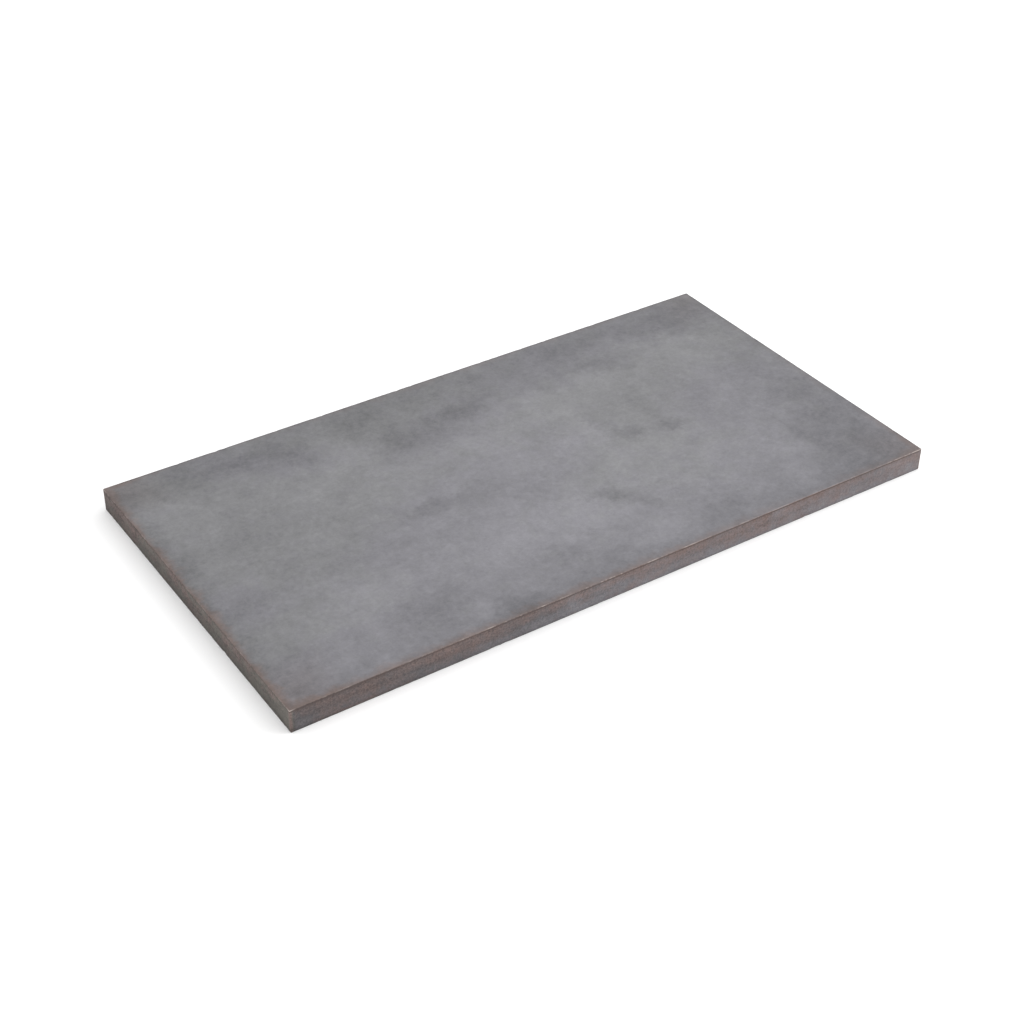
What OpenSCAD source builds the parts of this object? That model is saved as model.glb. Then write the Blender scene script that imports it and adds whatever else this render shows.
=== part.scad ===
// A rectangular steel plate: one solid cut from rolled stock and laid flat.
// The origin is the centre of the underside, with X along the length, Y across
// the width and Z up through the thickness. All sizes are in millimetres.

/* [Plate] */
// Length, along X
plate_length = 580; // [200:5:1500]
// Width, along Y
plate_width = 310; // [100:5:800]
// Thickness, along Z
plate_thickness = 20; // [8:0.5:60]

/* [Edges] */
// Radius on the long edges, where the front and back meet the two faces
long_edge_radius = 0.8; // [0.4:0.1:3]
// Radius on the end edges, where the two ends meet the two faces
end_edge_radius = 0.8; // [0.4:0.1:3]
// Radius of the four upright corners, seen from above
corner_radius = 0.8; // [0.4:0.1:6]

/* [Hidden] */
$fn = 96;

// A rectangle with round corners, centred on the origin.
module rounded_rectangle(size, radius) {
    square([size.x - 2 * radius, size.y], center = true);
    square([size.x, size.y - 2 * radius], center = true);
    for (side = [-1, 1], end = [-1, 1])
        translate([side * (size.x / 2 - radius), end * (size.y / 2 - radius)])
            circle(r = radius);
}

// The outline seen from above, through the full thickness.
module outline() {
    linear_extrude(plate_thickness)
        rounded_rectangle([plate_length, plate_width], corner_radius);
}

// The section across the width, drawn along the length.
module cross_section() {
    translate([-plate_length / 2, 0, plate_thickness / 2])
        rotate([90, 0, 90])
            linear_extrude(plate_length)
                rounded_rectangle([plate_width, plate_thickness], long_edge_radius);
}

// The section along the length, drawn across the width.
module lengthwise_section() {
    translate([0, plate_width / 2, plate_thickness / 2])
        rotate([90, 0, 0])
            linear_extrude(plate_width)
                rounded_rectangle([plate_length, plate_thickness], end_edge_radius);
}

// The plate is what the outline and the two sections have in common.
module plate() {
    color([0.54, 0.54, 0.56])
        intersection() {
            outline();
            cross_section();
            lengthwise_section();
        }
}

plate();
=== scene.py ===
"""A flat steel plate with a mottled grey patina and brown cut edges, lying on a pale floor.

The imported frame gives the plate's size and place. Lengths are in metres, in the plate's own frame:
X runs along the length, Y across the width to the back, and Z up from the surface it lies on. The
patches of its patina are placed in millimetres from the front left corner, as one would measure
them on it.
"""

from collections import namedtuple
from math import cos, radians, sin

import bmesh
import bpy
from bpy.props import FloatProperty, FloatVectorProperty, PointerProperty
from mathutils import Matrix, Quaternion, Vector


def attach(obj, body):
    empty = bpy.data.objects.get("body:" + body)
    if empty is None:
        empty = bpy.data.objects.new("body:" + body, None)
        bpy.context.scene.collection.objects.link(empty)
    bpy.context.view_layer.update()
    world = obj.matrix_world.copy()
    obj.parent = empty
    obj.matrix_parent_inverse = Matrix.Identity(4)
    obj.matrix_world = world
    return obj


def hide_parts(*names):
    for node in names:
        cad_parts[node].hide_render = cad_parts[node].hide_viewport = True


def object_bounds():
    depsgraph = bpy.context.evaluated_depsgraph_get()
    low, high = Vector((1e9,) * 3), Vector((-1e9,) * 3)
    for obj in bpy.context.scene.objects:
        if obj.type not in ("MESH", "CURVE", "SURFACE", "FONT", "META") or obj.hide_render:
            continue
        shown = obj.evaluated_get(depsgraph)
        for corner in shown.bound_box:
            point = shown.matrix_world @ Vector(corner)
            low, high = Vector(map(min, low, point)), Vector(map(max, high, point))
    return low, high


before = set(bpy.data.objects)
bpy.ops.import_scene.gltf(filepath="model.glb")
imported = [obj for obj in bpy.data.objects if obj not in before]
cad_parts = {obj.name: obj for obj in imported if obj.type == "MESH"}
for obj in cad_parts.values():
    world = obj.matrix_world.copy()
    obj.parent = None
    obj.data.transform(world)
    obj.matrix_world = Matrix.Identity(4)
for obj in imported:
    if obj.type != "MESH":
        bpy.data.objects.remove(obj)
cad_low, cad_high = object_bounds()

bl_info = {
    "name": "Steel plate",
    "version": (1, 0, 0),
    "blender": (4, 5, 0),
    "location": "3D View > Sidebar > Steel plate",
    "description": "Makes a thick steel plate with a mottled patina, and the stage it lies on",
    "category": "Add Mesh",
}

MM = 0.001
ALONG = Vector((1, 0, 0))
ACROSS = Vector((0, 1, 0))
UP = Vector((0, 0, 1))
HALF_LENGTH = (cad_high.x - cad_low.x) / 2
HALF_WIDTH = (cad_high.y - cad_low.y) / 2
THICKNESS = cad_high.z - cad_low.z
MIDDLE = (cad_low + cad_high) / 2
CAMERA_TARGET = MIDDLE + Vector((-30.6, -34.8, 0)) * MM


# --------------------------------------------------------------------------------------------------
# What a user would change
# --------------------------------------------------------------------------------------------------


def length(name, description, default):
    """A property that holds a length in metres."""
    return FloatProperty(
        name=name,
        description=description,
        default=default,
        subtype="DISTANCE",
        unit="LENGTH",
    )


def angle(name, description, degrees):
    """A property that holds an angle."""
    return FloatProperty(
        name=name,
        description=description,
        default=radians(degrees),
        subtype="ANGLE",
    )


def amount(name, description, default, most=1.0):
    """A property that holds a plain number from nothing to the most it may be."""
    return FloatProperty(
        name=name,
        description=description,
        default=default,
        min=0,
        max=most,
    )


def colour(name, description, default):
    """A property that holds a colour, in linear light."""
    return FloatVectorProperty(
        name=name,
        description=description,
        default=default,
        subtype="COLOR",
        min=0,
        max=1,
    )


class PlateShape(bpy.types.PropertyGroup):
    """The plate's edges and the relief of its surfaces."""

    arris_radius: length("Arris radius", "Radius between a face and a cut edge", 0.8 * MM)
    corner_radius: length("Corner radius", "Radius of the upright corners", 0.8 * MM)
    rolling_wave: length("Rolling wave", "Deepest hollow that rolling left in a face", 0.10 * MM)
    scale_pits: length("Scale pits", "Deepest pit in the mill scale", 0.06 * MM)
    cut_relief: length("Cut relief", "Deepest ripple on a cut edge", 0.12 * MM)
    nick_depth: length("Nick depth", "Deepest nick in an arris", 0.40 * MM)


class PlateFinish(bpy.types.PropertyGroup):
    """The colours and the gloss of the patina."""

    neutral_grey: colour("Neutral grey", "Patina where it is neutral", (0.1715, 0.1715, 0.1771))
    violet_grey: colour("Violet grey", "Patina where it turns violet", (0.1738, 0.1710, 0.1854))
    cut_grey: colour("Cut grey", "Cleaner stretches of the cut edges", (0.1355, 0.1303, 0.1405))
    cut_brown: colour("Cut brown", "Oxidised stretches of the cut edges", (0.0840, 0.0770, 0.0810))
    end_brown: colour("End brown", "Brown scale on the two ends", (0.0885, 0.0797, 0.0688))
    thin_rust: colour("Thin rust", "Stain over the faces from the arrises", (0.166, 0.1240, 0.1130))
    rust: colour("Rust", "Rust on the cut edges", (0.151, 0.106, 0.097))
    packed_rust: colour("Packed rust", "Dark rust caught under the arrises", (0.062, 0.042, 0.038))
    # Worn bare steel on the arrises, laid on as a bright line that is also a painted highlight
    bare_steel_and_highlight: colour("Bare steel", "Worn arrises", (0.36, 0.31, 0.285))
    roughness: amount("Roughness", "Mean roughness of the patina", 0.52)
    metallic: amount("Metallic", "How metallic the clean patina is", 0.6)


class Stage(bpy.types.PropertyGroup):
    """The camera, the floor and the lights."""

    lens: FloatProperty(
        name="Lens",
        description="Focal length, in millimetres",
        default=64.19,
        min=10,
        max=300,
    )
    azimuth: angle("Azimuth", "Where the camera looks, turned from +Y towards +X", 33.93)
    elevation: angle("Elevation", "How far the camera looks down", 35.77)
    roll: angle("Roll", "How far the camera leans", 0.50)
    distance: length("Distance", "From the camera to its target", 1.427)
    floor_size: length("Floor size", "Side of the square floor", 24.0)
    sky: amount("Sky", "Strength of the even light from all round", 1.28, 10.0)
    key: amount("Key", "Power of the softbox on the right, in watts", 32.0, 1000.0)


# --------------------------------------------------------------------------------------------------
# Shader maths
# --------------------------------------------------------------------------------------------------


class Field:
    """A socket with a value at each point of a surface. Expressions on fields add Math nodes."""

    def __init__(self, shader, socket):
        self.shader = shader
        self.socket = socket

    def maths(self, operation, *values):
        """What one Math node makes of some values."""
        return self.shader.add("ShaderNodeMath", {"operation": operation}, values)

    def __add__(self, other):
        return self.maths("ADD", self, other)

    def __radd__(self, other):
        return self.maths("ADD", other, self)

    def __sub__(self, other):
        return self.maths("SUBTRACT", self, other)

    def __rsub__(self, other):
        return self.maths("SUBTRACT", other, self)

    def __mul__(self, other):
        return self.maths("MULTIPLY", self, other)

    def __rmul__(self, other):
        return self.maths("MULTIPLY", other, self)

    def __abs__(self):
        return self.maths("ABSOLUTE", self)

    def below(self, other):
        """The lower of two values."""
        return self.maths("MINIMUM", self, other)

    def above(self, other):
        """The higher of two values."""
        return self.maths("MAXIMUM", self, other)

    def less_than(self, other):
        """One where this value is under the other, and nothing elsewhere."""
        return self.maths("LESS_THAN", self, other)

    def rise(self, start, end):
        """Nothing at start, one at end, and smooth between. The end may lie below the start."""
        settings = {"interpolation_type": "SMOOTHSTEP"}
        return self.shader.add("ShaderNodeMapRange", settings, (self, start, end, 0.0, 1.0))

    def bump_at(self, middle, half_width):
        """One at a value, falling to nothing half a width to either side."""
        return abs(self - middle).rise(half_width, 0.0)


class Shader:
    """One material's nodes."""

    def __init__(self, name):
        self.material = bpy.data.materials.new(name)
        self.material.use_nodes = True
        self.tree = self.material.node_tree
        self.surface = self.tree.nodes["Principled BSDF"]

    def put(self, socket, value):
        """Gives a socket a field's link or a plain value."""
        if isinstance(value, Field):
            self.tree.links.new(value.socket, socket)
        else:
            socket.default_value = value

    def add(self, kind, settings=None, values=(), output=0):
        """Adds a node, with its settings and what its sockets hold, by place or by name.

        The settings come first, because some of them change the sockets. One output is returned.
        """
        node = self.tree.nodes.new(kind)
        for name, setting in (settings or {}).items():
            setattr(node, name, setting)
        pairs = values.items() if isinstance(values, dict) else enumerate(values)
        for key, value in pairs:
            self.put(node.inputs[key], value)
        return Field(self, node.outputs[output])

    def set(self, **values):
        """Gives the surface's own sockets their values, by name with _ for a space."""
        for name, value in values.items():
            self.put(self.surface.inputs[name.replace("_", " ")], value)

    def split(self, place):
        """The three coordinates of a place."""
        return [self.add("ShaderNodeSeparateXYZ", None, (place,), output) for output in range(3)]

    def noise(self, place, size, detail=2.0, roughness=0.5, output=0):
        """Smooth noise whose largest blots are about a size across, from 0 to 1."""
        values = {"Vector": place, "Scale": 1 / size, "Detail": detail, "Roughness": roughness}
        return self.add("ShaderNodeTexNoise", None, values, output)

    def stretched(self, place, along, across, up=1.0):
        """A place whose patterns come out longer or shorter along each axis."""
        values = (place, (1 / along, 1 / across, 1 / up))
        return self.add("ShaderNodeVectorMath", {"operation": "MULTIPLY"}, values)

    def shaken(self, place, size, reach, seed=0.0):
        """A place moved to and fro by noise, so that what is drawn on it gets ragged borders."""
        kind = "ShaderNodeVectorMath"
        shifted = self.add(kind, {"operation": "ADD"}, (place, (seed, seed, seed)))
        push = self.noise(shifted, size, detail=4.0, roughness=0.7, output=1)
        centred = self.add(kind, {"operation": "SUBTRACT"}, (push, (0.5, 0.5, 0.5)))
        values = (centred, (reach, reach, reach), place)
        return self.add(kind, {"operation": "MULTIPLY_ADD"}, values)

    def blend(self, share, first, second):
        """The first colour where share is nothing and the second where it is one."""
        values = {0: share, 6: first, 7: second}
        return self.add("ShaderNodeMix", {"data_type": "RGBA"}, values, output=2)

    def shaded(self, tint, brightness):
        """A colour made lighter or darker by a field."""
        return self.add("ShaderNodeVectorMath", {"operation": "SCALE"}, {0: tint, 3: brightness})


# --------------------------------------------------------------------------------------------------
# The patina
# --------------------------------------------------------------------------------------------------

# A soft oval patch: its middle in millimetres from the plate's left end and front edge, how far it
# fades out along and across, its turn in degrees, and the change that it makes at its middle.
Patch = namedtuple("Patch", "x y along across turn change")

DARK_PATCHES = (
    # Long soft bands beside the four sides
    Patch(290, 292, 640, 38, 0, -0.14),
    Patch(330, -10, 540, 44, 0, -0.12),
    Patch(-6, 150, 36, 240, 0, -0.24),
    Patch(558, 150, 56, 220, 0, -0.09),
    # The back edge, from the left end to the right
    Patch(40, 282, 70, 24, 0, -0.09),
    Patch(60, 300, 100, 30, -3, -0.07),
    Patch(15, 296, 50, 34, 0, -0.03),
    Patch(122, 276, 76, 26, -16, -0.10),
    Patch(148, 264, 34, 20, -30, -0.13),
    Patch(208, 278, 44, 38, -30, -0.11),
    Patch(250, 300, 70, 22, 0, -0.07),
    Patch(425, 296, 80, 24, 0, -0.08),
    Patch(546, 278, 60, 36, 6, -0.12),
    # The two lobes behind the centre
    Patch(226, 242, 34, 26, 8, -0.23),
    Patch(244, 221, 46, 18, 4, -0.13),
    Patch(274, 247, 56, 24, 8, -0.24),
    Patch(304, 259, 52, 28, 0, -0.15),
    Patch(240, 262, 40, 20, 0, -0.08),
    Patch(395, 256, 100, 34, -6, -0.11),
    Patch(510, 278, 44, 36, 0, -0.10),
    Patch(437, 250, 20, 46, 24, -0.13),
    # The broken ring on the right
    Patch(395, 151, 23, 16, -15, -0.24),
    Patch(382, 176, 14, 42, 4, -0.10),
    Patch(433, 142, 20, 11, -20, -0.19),
    Patch(432, 184, 15, 44, 0, -0.13),
    Patch(472, 186, 40, 60, 0, -0.05),
    Patch(478, 134, 50, 18, 0, -0.05),
    # The streaks along the middle
    Patch(230, 147, 66, 18, 0, -0.14),
    Patch(150, 144, 120, 14, 2, -0.06),
    Patch(110, 120, 110, 12, 0, -0.08),
    Patch(302, 124, 76, 12, -3, -0.09),
    Patch(80, 195, 50, 90, 0, -0.06),
    # The slanting streak
    Patch(329, 87, 36, 12, -20, -0.20),
    Patch(344, 70, 34, 10, -45, -0.17),
    Patch(358, 79, 24, 11, -15, -0.11),
    Patch(385, 80, 40, 10, 20, -0.06),
    # The left end and the front edge
    Patch(10, 20, 46, 44, 0, -0.09),
    Patch(20, 3, 60, 14, 0, -0.06),
    Patch(40, 122, 40, 26, 0, -0.05),
    Patch(36, 78, 28, 22, 0, -0.06),
    Patch(32, 172, 26, 26, 0, -0.05),
    Patch(32, 48, 20, 20, 0, -0.10),
    Patch(140, 42, 40, 40, 0, -0.12),
    Patch(195, 6, 44, 26, 0, -0.16),
    Patch(250, 44, 22, 20, 0, -0.07),
    Patch(255, 10, 60, 22, 0, -0.07),
    Patch(392, 30, 44, 30, 0, -0.08),
    Patch(452, 16, 34, 22, 0, -0.06),
    # The front right corner and the right end
    Patch(542, 22, 66, 50, 0, -0.23),
    Patch(566, 92, 36, 70, 0, -0.06),
    Patch(534, 70, 50, 48, 0, -0.15),
    Patch(512, 78, 10, 40, 0, -0.08),
    Patch(542, 124, 46, 28, 10, -0.08),
)
PALE_PATCHES = (
    Patch(310, 150, 340, 200, 0, 0.09),
    Patch(188, 226, 50, 38, 0, 0.06),
    Patch(20, 236, 50, 36, 0, 0.08),
    Patch(72, 228, 40, 30, 0, 0.05),
    Patch(178, 266, 20, 34, 0, 0.08),
    Patch(128, 225, 40, 50, 0, 0.05),
    Patch(290, 206, 110, 18, 2, 0.09),
    Patch(358, 218, 26, 60, 0, 0.10),
    Patch(370, 130, 40, 110, 0, 0.08),
    Patch(416, 228, 46, 34, 0, 0.13),
    Patch(420, 128, 50, 24, 0, 0.06),
    Patch(520, 232, 60, 50, 0, 0.10),
    Patch(300, 165, 90, 34, 0, 0.06),
    Patch(270, 78, 150, 44, 0, 0.17),
    Patch(100, 78, 100, 38, 4, 0.14),
    Patch(425, 80, 70, 50, 0, 0.09),
    Patch(485, 66, 40, 50, 0, 0.08),
    Patch(345, 32, 56, 36, 0, 0.10),
    Patch(325, 118, 60, 16, 0, 0.05),
    Patch(530, 102, 40, 12, 0, 0.05),
    Patch(228, 112, 34, 16, 0, 0.05),
    Patch(80, 46, 60, 26, 0, 0.07),
    Patch(165, 18, 20, 26, 0, 0.12),
)
VIOLET_PATCHES = (
    Patch(120, 275, 110, 34, -28, 1.0),
    Patch(270, 232, 110, 50, 8, 0.9),
    Patch(400, 275, 150, 60, 4, 0.9),
    Patch(530, 280, 90, 40, 0, 0.8),
    Patch(290, 160, 150, 60, 0, 1.0),
    Patch(200, 120, 170, 70, 8, 1.0),
    Patch(30, 120, 50, 50, 0, 0.8),
    Patch(230, 60, 240, 80, 6, 0.9),
    Patch(320, 10, 420, 80, 0, 0.9),
    Patch(70, 14, 150, 62, 0, 1.0),
    Patch(520, 60, 190, 150, 20, 1.0),
    Patch(510, 160, 110, 60, 20, 0.9),
)
# Where the thin rust takes hold: at the front and the left end, and less along the other two sides
RUST_PATCHES = (
    Patch(180, 0, 420, 70, 0, 0.48),
    Patch(0, 155, 70, 400, 0, 0.62),
    Patch(575, 5, 110, 80, 0, 0.42),
    Patch(290, 310, 560, 40, 0, 0.18),
    Patch(580, 160, 44, 260, 0, 0.13),
)

# A stretch of the cut edges: its middle, in millimetres along the length from the plate's middle,
# half its width, and how much redder it is than the rest, or how much greyer if that is negative.
Stretch = namedtuple("Stretch", "middle half_width change")

RED_STRETCHES = (
    Stretch(-250, 50, 0.34),
    Stretch(-108, 60, -0.34),
    Stretch(100, 50, 0.08),
    Stretch(250, 60, -0.20),
)


def opaque(tint):
    """A colour property as a colour socket takes it."""
    return (*tint, 1)


def painted(shader, place, patches):
    """The sum of a list of patches, on a place in metres from the plate's middle."""
    total = 0.0
    for patch in patches:
        centre = (patch.x * MM - HALF_LENGTH, patch.y * MM - HALF_WIDTH, 0)
        values = {
            "Vector": place,
            "Location": centre,
            "Rotation": (0, 0, radians(patch.turn)),
            "Scale": (patch.along * MM, patch.across * MM, 1),
        }
        local = shader.add("ShaderNodeMapping", {"vector_type": "TEXTURE"}, values)
        settings = {"gradient_type": "SPHERICAL"}
        cone = shader.add("ShaderNodeTexGradient", settings, (local,), output=1)
        total = cone.rise(0.0, 0.9) * patch.change + total
    return total


class PlateFields:
    """Where each point of the plate lies, and the noises that its finishes share."""

    def __init__(self, shader):
        self.place = shader.add("ShaderNodeTexCoord", output="Object")
        self.x, self.y, self.z = shader.split(self.place)

        # Distances: from the nearest end, from the nearest side, and from the nearest face
        self.from_ends = HALF_LENGTH - abs(self.x)
        self.from_sides = HALF_WIDTH - abs(self.y)
        self.depth = (THICKNESS - self.z).below(self.z)
        # From the nearest arris, positive on a face and negative on a cut edge
        self.rim = self.from_ends.below(self.from_sides) - self.depth
        # From the nearest upright corner, along an edge
        self.corner = self.from_ends.above(self.from_sides)

        # Regions: all the cut edges, both ends, the left end, which is rougher, and all that lies
        # within a few millimetres of it
        self.cut = self.rim.rise(0.3 * MM, -0.4 * MM)
        self.end_face = self.from_ends.rise(5 * MM, 0.5 * MM)
        self.rough_end = self.end_face * self.x.rise(200 * MM, -200 * MM)
        self.left_end = self.x.rise(-284 * MM, -289 * MM)
        # The upper part of the edges, and the last 2 mm above the floor
        self.upper = self.z.rise(6 * MM, 14 * MM)
        self.foot = self.z.rise(2.0 * MM, 0.3 * MM)

        # Noises, each from -0.5 to 0.5: mottling from 24 mm blots down to fine speckle, and bands
        # that run along the cut edges
        self.mottle = shader.noise(self.place, 24 * MM, detail=4.0, roughness=0.8) - 0.5
        self.blots = shader.noise(self.place, 13 * MM, detail=3.0, roughness=0.7) - 0.5
        self.speckle = shader.noise(self.place, 3.6 * MM, detail=2.0, roughness=0.8) - 0.5
        drawn_out = shader.stretched(self.place, 9, 9, 1)
        self.bands = shader.noise(drawn_out, 5 * MM, detail=3.0, roughness=0.6) - 0.5


def face_finish(shader, at, finish):
    """The colour of the faces, and how thick their stain of rust is."""
    # The underside carries the same kind of patches, turned half round
    turn = 1 - 2 * at.z.less_than(MIDDLE.z)
    flat = shader.add("ShaderNodeCombineXYZ", None, (at.x * turn, at.y * turn, 0.0))
    ragged = shader.shaken(shader.shaken(flat, 40 * MM, 22 * MM), 11 * MM, 30 * MM, seed=3.0)

    # Darker and paler patches, mottled and wiped along the length, on neutral and violet grey
    wipes = shader.noise(shader.stretched(ragged, 9, 1), 9 * MM, detail=2.0) - 0.5
    tone = 1 + painted(shader, ragged, DARK_PATCHES + PALE_PATCHES)
    tone = tone + at.mottle * 0.62 + at.speckle * 0.55 + wipes * 0.10
    tone = tone - at.rim.rise(12 * MM, 1 * MM) * 0.03
    violet = painted(shader, ragged, VIOLET_PATCHES).below(1.0)
    violet = violet + at.blots * 2.2 + at.rim.rise(30 * MM, 5 * MM) * 0.2
    colour_map = shader.blend(violet, opaque(finish.neutral_grey), opaque(finish.violet_grey))

    # Rust creeps in from the arrises as a ragged stain, furthest at the corners
    rusty = painted(shader, ragged, RUST_PATCHES).below(0.62)
    creep = shader.noise(at.place, 20 * MM, detail=5.0, roughness=0.75) - 0.5
    reach = at.corner.rise(45 * MM, 5 * MM) * 4 * MM
    stain = (at.rim + creep * 26 * MM - reach).rise(9 * MM, -1 * MM) * 1.3
    stain = (stain + at.rim.rise(4 * MM, 0.0) * 0.35) * rusty
    # A wide, faint cast of it lies round each corner
    stain = stain.above(at.corner.rise(60 * MM, 6 * MM) * (rusty * 0.2 + 0.12))
    colour_map = shader.blend(stain, colour_map, opaque(finish.thin_rust))
    return shader.shaded(colour_map, tone), stain


def edge_tone(shader, at, patchy):
    """How much lighter or darker each point of the cut edges is than its colour."""
    # Bands, smudges, grain and speckle, most of it on the left end, and lighter towards the right
    smudges = shader.noise(at.place, 10 * MM, detail=3.0, roughness=0.6) - 0.5
    grain = shader.noise(at.place, 1.8 * MM, detail=1.0, roughness=1.0) - 0.5
    tone = 1.0 + at.bands * 0.40 + smudges * (0.35 + at.end_face * 0.45) + at.mottle * 0.25
    coarse = 1.35 - at.end_face * 0.45 + at.rough_end * 0.85
    tone = tone + grain * coarse + at.x * 0.28
    tone = tone + at.rough_end * at.speckle * 0.8
    tone = tone + at.x.rise(210 * MM, 250 * MM) * at.z.rise(6 * MM, 12 * MM) * 0.06

    # The rustier blotches are darker, and so are the ends towards the back
    tone = tone - patchy * (0.14 + at.rough_end * 0.48)
    tone = tone - at.end_face * at.y * 0.95

    # Along the edge: dark at mid height and under the upper arris, with a pale line low down, and
    # painted light over the lower part against the dimmer light near the floor
    under_arris = at.rim.bump_at(-1.6 * MM, 3.5 * MM) * at.z.rise(8 * MM, 12 * MM)
    tone = tone - at.depth.rise(6 * MM, 10 * MM) * 0.07 - under_arris * (0.14 - at.end_face * 0.08)
    return tone + at.z.bump_at(6.0 * MM, 4.5 * MM) * 0.06 + at.z.rise(9 * MM, 2 * MM) * 0.06


def edge_painted_shade(at):
    """Painted shade on the cut edges, as the share of its tone that each point keeps: a painted
    contact shadow along the foot, a little darker low down, and the floor's shadow painted on the
    left end. The edges are also darker along both arrises and in the upper half towards the left.
    """
    # Painted shade: the left end grows darker towards the floor, where the floor's shadow falls on
    # it
    shade = at.left_end * at.z.rise(22 * MM, 1 * MM) * 0.34
    # Painted shade on every edge in its lowest millimetres, and a painted contact shadow along the
    # foot
    shade = shade + at.z.rise(4.5 * MM, 2.0 * MM) * 0.04 + at.foot * 0.34
    # Darker along both arrises and in the upper half towards the left, but not on the left end
    # itself
    lip = at.x.rise(-150 * MM, -288 * MM) * at.depth.rise(4 * MM, 0.0) * 0.24
    dim = at.x.rise(-60 * MM, -150 * MM) * 0.04 + at.x.rise(-200 * MM, -250 * MM) * 0.12
    lip = (lip + dim * at.z.rise(7 * MM, 12 * MM)) * (1 - at.left_end)
    return 1 - shade - lip


def edge_finish(shader, at, finish):
    """The colour of the cut edges: grey and brown oxide, browner on the ends, with rust over it, and
    with painted shade near the floor and on the left end.
    """
    # Oxide in clouds and bands, most of it towards the left end
    clouds = shader.noise(at.place, 30 * MM, detail=4.0, roughness=0.7) - 0.5
    oxide = clouds + at.bands * 0.4 + at.x.rise(0.0, -250 * MM) * 0.5
    oxide = (oxide - at.z.rise(14 * MM, 2 * MM) * 0.12).rise(-0.15, 0.35)
    colour_map = shader.blend(oxide, opaque(finish.cut_grey), opaque(finish.cut_brown))
    brown = at.end_face * 0.4 + at.rough_end * 0.6
    colour_map = shader.blend(brown, colour_map, opaque(finish.end_brown))

    # Rust in blotches, redder towards the top, in some stretches and on the upright corners
    drift = shader.noise(shader.stretched(at.place, 6, 6), 16 * MM, detail=3.0, roughness=0.6) - 0.5
    patchy = at.blots * 1.7 + drift * 1.7 + at.speckle * 0.5
    redness = at.z.rise(0.0, THICKNESS) * 0.48 + 0.16 - at.end_face * 0.16
    redness = redness + patchy * (1 - at.end_face * 0.4 + at.rough_end * 1.3)
    for stretch in RED_STRETCHES:
        here = at.x.bump_at(stretch.middle * MM, stretch.half_width * MM)
        redness = redness + here * stretch.change
    redness = redness + at.end_face * (at.y * 0.8 + at.y.bump_at(105 * MM, 35 * MM) * 0.30)
    redness = redness.above(at.corner.rise(2.7 * MM, 0.8 * MM) * 0.7)
    colour_map = shader.blend(redness, colour_map, opaque(finish.rust))
    return shader.shaded(colour_map, edge_tone(shader, at, patchy) * edge_painted_shade(at))


def arris_finish(shader, at, finish, colour_map):
    """A colour with the upper arrises added, how bright their line of worn steel and painted
    highlight is, and how dull.
    """
    # Rust packed under each arris, and on it a bright line: bare steel where wear has cleaned it,
    # and a painted highlight
    wear = shader.noise(at.place, 8 * MM, detail=4.0, roughness=0.75) - 0.5
    packed = at.rim.bump_at(-1.25 * MM, 0.95 * MM) * (wear + 0.5).rise(0.1, 0.5) * at.upper
    colour_map = shader.blend(packed * 0.85, colour_map, opaque(finish.packed_rust))
    near_corner = at.corner.rise(18 * MM, 0.0)
    bright = at.rim.bump_at(-0.1 * MM, 0.8 * MM)
    bright = bright * (wear + near_corner * 0.10).rise(-0.05, 0.15) * at.upper
    # How strongly the bright line, painted highlight and worn steel, shows along the arrises
    highlight_and_wear = 0.2 + at.x.bump_at(-60 * MM, 260 * MM) * 0.55 + at.x.rise(225 * MM, 270 * MM) * 0.5
    highlight_and_wear = highlight_and_wear * at.from_ends.rise(0.5 * MM, 4 * MM)
    highlight_and_wear = highlight_and_wear + near_corner * 0.22 + at.corner.rise(3 * MM, 0.0) * 0.5 + at.left_end * 0.4
    colour_map = shader.blend(bright * highlight_and_wear, colour_map, opaque(finish.bare_steel_and_highlight))

    # A dull, dark line along the arrises of the right end and the back
    right = at.x.rise(284 * MM, 288 * MM) * at.y.rise(-152 * MM, -142 * MM)
    back = at.y.rise(149 * MM, 153 * MM) * at.x.rise(-284 * MM, -274 * MM)
    dull = at.rim.bump_at(0.5 * MM, 1.9 * MM) * right.above(back) * at.upper
    return shader.shaded(colour_map, 1 - dull * 0.4), bright, dull


def steel_patina(finish):
    """The finish of the whole plate: both faces, the cut edges, and the arrises between them."""
    shader = Shader("steel_patina")
    at = PlateFields(shader)
    face, stain = face_finish(shader, at, finish)
    colour_map = shader.blend(at.cut, face, edge_finish(shader, at, finish))
    colour_map, bright, dull = arris_finish(shader, at, finish, colour_map)

    roughness = finish.roughness + at.blots * 0.15 + at.speckle * 0.15
    roughness = roughness + stain * 0.15 + at.cut * 0.06 - bright * 0.12 + dull * 0.35
    metallic = finish.metallic * (1 - 0.6 * stain) * (1 - 0.3 * at.cut)
    metallic = metallic * (1 - 0.8 * at.foot * at.rim.rise(6 * MM, 2 * MM)) * (1 - dull)
    height = at.blots * 0.04 + at.speckle * 0.08 + at.bands * at.cut * 0.25
    values = {"Strength": 1.0, "Distance": 1 * MM, "Height": height}
    relief = shader.add("ShaderNodeBump", None, values)
    shader.set(Base_Color=colour_map, Roughness=roughness, Metallic=metallic, Normal=relief)
    return shader.material


# --------------------------------------------------------------------------------------------------
# The plate
# --------------------------------------------------------------------------------------------------

# The least cosine between an edge and the axis that it runs along, and the least turn between two
# faces that meet squarely
PARALLEL = 0.999
SQUARE = radians(60)
# How many flats each rounded edge is made of
FLATS = 3


def add_block(name, low, high):
    """Adds a block that fills the box from low to high, with its place in its mesh."""
    bpy.ops.object.select_all(action="DESELECT")
    bpy.ops.mesh.primitive_cube_add(size=1, location=(low + high) / 2, scale=high - low)
    bpy.ops.object.transform_apply(location=True, rotation=True, scale=True)
    block = bpy.context.object
    block.name = name
    block.data.name = name
    return block


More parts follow.
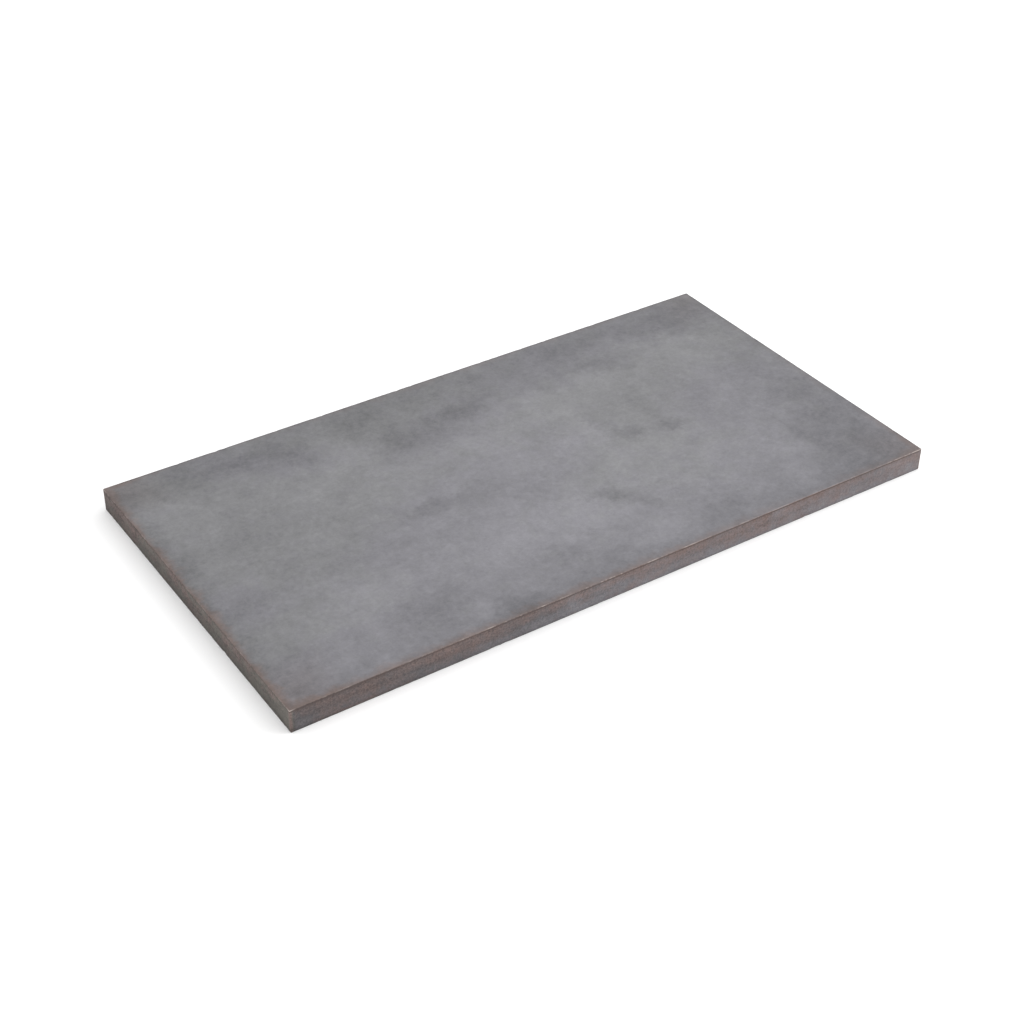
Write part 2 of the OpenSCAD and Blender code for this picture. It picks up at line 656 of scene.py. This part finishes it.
def select_edges(piece, wanted):
    """In edit mode, selects only the edges that wanted accepts."""
    shape = bmesh.from_edit_mesh(piece.data)
    chosen = [edge for edge in shape.edges if wanted(edge)]
    bpy.ops.mesh.select_all(action="DESELECT")
    for edge in chosen:
        edge.select_set(True)
    shape.select_flush_mode()
    bmesh.update_edit_mesh(piece.data)


def runs_along(edge, axis):
    """Whether an edge is parallel to an axis."""
    start, end = (vertex.co for vertex in edge.verts)
    return abs((end - start).normalized().dot(axis)) > PARALLEL


def is_square(edge):
    """Whether the two faces at an edge meet at about a right angle."""
    return edge.calc_face_angle(0) > SQUARE


def divide(piece, axis, *cuts):
    """Cuts every edge along an axis into equal lengths, with so many cuts in each round."""
    for count in cuts:
        select_edges(piece, lambda edge: runs_along(edge, axis))
        bpy.ops.mesh.subdivide(number_cuts=count)


def ease(piece, radius, wanted):
    """Rounds the square edges that wanted accepts."""
    select_edges(piece, lambda edge: is_square(edge) and wanted(edge))
    bpy.ops.mesh.bevel(
        offset_type="OFFSET",
        offset=radius,
        segments=FLATS,
        profile=0.5,
        affect="EDGES",
    )


def rim_distance(place):
    """Distance from the nearest arris, positive on a face and negative on a cut edge."""
    from_ends = HALF_LENGTH - abs(place.x)
    from_sides = HALF_WIDTH - abs(place.y)
    depth = min(cad_high.z - place.z, place.z - cad_low.z)
    return min(from_ends, from_sides) - depth


def ramp(value, start, end):
    """Nothing up to start, one from end on, and straight between."""
    return min(max((value - start) / (end - start), 0.0), 1.0)


def add_zone(piece, name, weight_of):
    """Makes a vertex group whose weights follow each vertex's distance from the arris."""
    zone = piece.vertex_groups.new(name=name)
    for vertex in piece.data.vertices:
        weight = weight_of(rim_distance(vertex.co))
        if weight > 0:
            zone.add([vertex.index], weight, "REPLACE")


def sink(piece, zone, name, size, depth, low, high):
    """Sinks hollows of about a size into a zone.

    They begin where a noise passes low, and reach their full depth where it passes high.
    """
    pattern = bpy.data.textures.new(name, "CLOUDS")
    pattern.noise_scale = size
    pattern.noise_depth = 2
    pattern.use_color_ramp = True
    pattern.color_ramp.elements[0].position = low
    pattern.color_ramp.elements[1].position = high
    bpy.ops.object.modifier_add(type="DISPLACE")
    hollows = piece.modifiers[-1]
    hollows.texture = pattern
    hollows.texture_coords = "LOCAL"
    hollows.vertex_group = zone
    hollows.mid_level = 0
    hollows.strength = -depth
    bpy.ops.object.modifier_apply(modifier=hollows.name)


def model_plate(shape):
    """The plate's mesh: a divided block with eased edges and the relief of rolled and cut steel."""
    plate = add_block("steel_plate", cad_low, cad_high)
    bpy.ops.object.mode_set(mode="EDIT")
    bpy.ops.mesh.select_mode(type="EDGE")
    # 256 steps along, 128 across and 8 up, each a little over 2 mm
    divide(plate, ALONG, 15, 15)
    divide(plate, ACROSS, 15, 7)
    divide(plate, UP, 7)
    ease(plate, shape.corner_radius, lambda edge: runs_along(edge, UP))
    ease(plate, shape.arris_radius, lambda edge: True)
    bpy.ops.mesh.select_all(action="DESELECT")
    bpy.ops.object.mode_set(mode="OBJECT")

    add_zone(plate, "faces", lambda rim: ramp(rim, 1 * MM, 6 * MM))
    add_zone(plate, "cut_edges", lambda rim: ramp(-rim, 1 * MM, 4 * MM))
    add_zone(plate, "arrises", lambda rim: 1 - ramp(abs(rim), 1 * MM, 2.2 * MM))
    sink(plate, "faces", "rolling_wave", 90 * MM, shape.rolling_wave, 0.2, 0.8)
    sink(plate, "faces", "scale_pits", 14 * MM, shape.scale_pits, 0.5, 0.7)
    sink(plate, "cut_edges", "cut_relief", 9 * MM, shape.cut_relief, 0.2, 0.8)
    sink(plate, "arrises", "nicks", 6 * MM, shape.nick_depth, 0.62, 0.85)
    bpy.ops.object.shade_smooth()
    bpy.ops.object.modifier_add(type="WEIGHTED_NORMAL")
    bpy.ops.object.modifier_apply(modifier=plate.modifiers[-1].name)
    return plate


class MakePlate(bpy.types.Operator):
    """Model the steel plate and give it its patina"""

    bl_idname = "mesh.steel_plate_make"
    bl_label = "Make the plate"

    def execute(self, context):
        plate = model_plate(context.scene.plate_shape)
        plate.data.materials.append(steel_patina(context.scene.plate_finish))
        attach(plate, "root")
        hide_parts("plate")
        return {"FINISHED"}


# --------------------------------------------------------------------------------------------------
# The stage
# --------------------------------------------------------------------------------------------------


def direction(azimuth, elevation):
    """The unit vector at an azimuth, turned from +Y towards +X, and an elevation above level."""
    level = cos(elevation)
    return Vector((sin(azimuth) * level, cos(azimuth) * level, sin(elevation)))


def add_camera(stage):
    """A camera that looks at a point a little in front and to the left of the plate's middle."""
    gaze = direction(stage.azimuth, -stage.elevation)
    turn = gaze.to_track_quat("-Z", "Y") @ Quaternion((0, 0, 1), stage.roll)
    spot = CAMERA_TARGET - gaze * stage.distance
    bpy.ops.object.camera_add(location=spot, rotation=turn.to_euler())
    camera = bpy.context.object
    camera.data.lens = stage.lens
    bpy.context.scene.camera = camera


def add_softbox(name, azimuth, elevation, distance, size, power):
    """A square area light that faces the plate."""
    towards = direction(radians(azimuth), radians(elevation))
    turn = (-towards).to_track_quat("-Z", "Y")
    spot = MIDDLE + towards * distance
    bpy.ops.object.light_add(type="AREA", location=spot, rotation=turn.to_euler())
    softbox = bpy.context.object
    softbox.name = name
    softbox.data.size = size
    softbox.data.energy = power


def add_floor(size):
    """A plain white floor under the plate."""
    bpy.ops.mesh.primitive_plane_add(size=size, location=(MIDDLE.x, MIDDLE.y, cad_low.z))
    floor = bpy.context.object
    floor.name = "floor"
    paper = Shader("white_paper")
    paper.set(Base_Color=(0.9, 0.9, 0.9, 1), Roughness=0.9, Specular_IOR_Level=0.0)
    floor.data.materials.append(paper.material)


def add_sky(strength):
    """Even white light from all round."""
    world = bpy.data.worlds.new("sky")
    world.use_nodes = True
    background = world.node_tree.nodes["Background"]
    background.inputs["Color"].default_value = (1, 1, 1, 1)
    background.inputs["Strength"].default_value = strength
    bpy.context.scene.world = world


class MakeStage(bpy.types.Operator):
    """Set up the floor, the lights and the camera"""

    bl_idname = "scene.steel_plate_stage"
    bl_label = "Make the stage"

    def execute(self, context):
        stage = context.scene.plate_stage
        bpy.ops.object.select_all(action="DESELECT")
        add_floor(stage.floor_size)
        add_sky(stage.sky)
        add_softbox("key", azimuth=117, elevation=31, distance=2.6, size=2.0, power=stage.key)
        add_camera(stage)
        context.scene.view_settings.view_transform = "Standard"
        return {"FINISHED"}


class PlatePanel(bpy.types.Panel):
    """The plate's settings and the buttons that make it"""

    bl_idname = "VIEW3D_PT_steel_plate"
    bl_label = "Steel plate"
    bl_space_type = "VIEW_3D"
    bl_region_type = "UI"
    bl_category = "Steel plate"

    def draw(self, context):
        scene = context.scene
        for operator, groups in (
            (MakePlate, (scene.plate_shape, scene.plate_finish)),
            (MakeStage, (scene.plate_stage,)),
        ):
            for group in groups:
                for name in group.__annotations__:
                    self.layout.prop(group, name)
            self.layout.operator(operator.bl_idname)


CLASSES = (PlateShape, PlateFinish, Stage, MakePlate, MakeStage, PlatePanel)


def register():
    for each in CLASSES:
        bpy.utils.register_class(each)
    bpy.types.Scene.plate_shape = PointerProperty(type=PlateShape)
    bpy.types.Scene.plate_finish = PointerProperty(type=PlateFinish)
    bpy.types.Scene.plate_stage = PointerProperty(type=Stage)


def unregister():
    del bpy.types.Scene.plate_stage
    del bpy.types.Scene.plate_finish
    del bpy.types.Scene.plate_shape
    for each in reversed(CLASSES):
        bpy.utils.unregister_class(each)


def main():
    """Makes the plate and its stage."""
    register()
    bpy.ops.mesh.steel_plate_make()
    bpy.ops.scene.steel_plate_stage()


if __name__ == "__main__":
    main()
